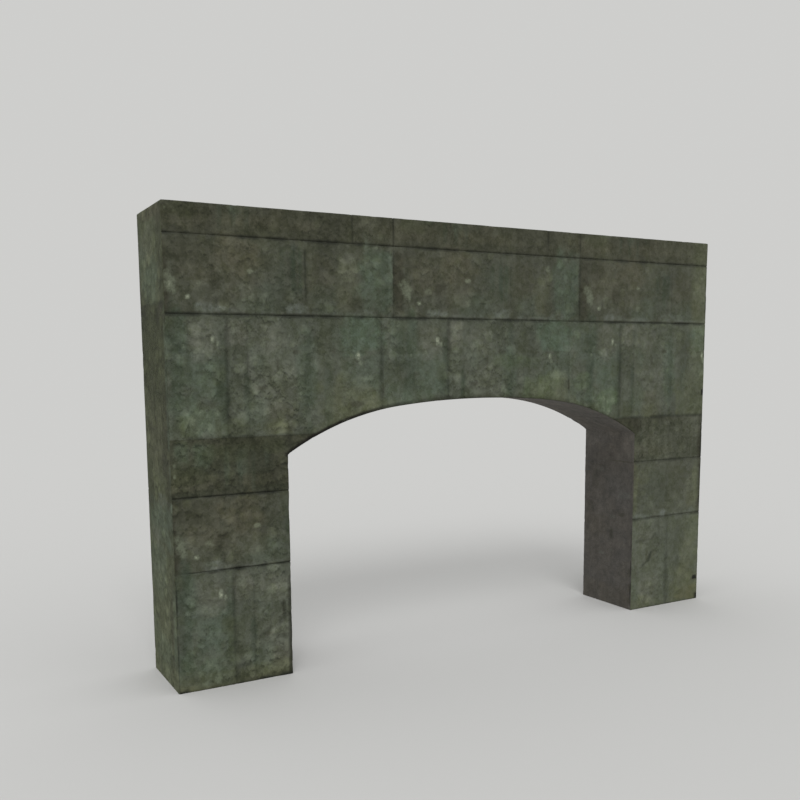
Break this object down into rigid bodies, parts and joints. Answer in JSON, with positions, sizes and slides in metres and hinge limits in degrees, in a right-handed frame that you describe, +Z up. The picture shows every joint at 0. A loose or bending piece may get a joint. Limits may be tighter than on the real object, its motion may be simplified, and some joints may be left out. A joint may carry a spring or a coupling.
{
  "type": "masonry archway",
  "caption": "Free-standing block archway with coursed piers, a wide flattened arch, a frieze course and a flush coping.",
  "frame": {"origin": "on the ground, under the middle of the wall's length and depth", "axes": "+Z up, -Y out of the front face, +X to the right along the wall as seen from the front"},
  "size_m": [9, 1.18, 5.98],
  "materials": {
    "mossy_block": "matte, weathered, green-grey with pale lichen",
    "brown_block": "matte, weathered, brown-grey",
    "dark_block": "matte, weathered, dark olive with run-off streaks"
  },
  "bodies": {
    "root": {"left_base_outer": "mossy_block", "left_base_inner": "mossy_block", "left_middle": "brown_block", "left_springer": "dark_block", "right_base_outer": "mossy_block", "right_base_inner": "mossy_block", "right_middle": "brown_block", "right_springer": "dark_block", "arch_left_end": "mossy_block", "arch_left_haunch": "mossy_block", "arch_left_shoulder": "mossy_block", "arch_crown": "mossy_block", "arch_right_haunch": "mossy_block", "arch_right_end": "mossy_block", "frieze_left": "brown_block", "frieze_middle": "brown_block", "frieze_right": "brown_block", "coping_left": "dark_block", "coping_left_short": "dark_block", "coping_middle": "dark_block", "coping_right_short": "dark_block", "coping_right": "dark_block"}
  },
  "joints": []
}
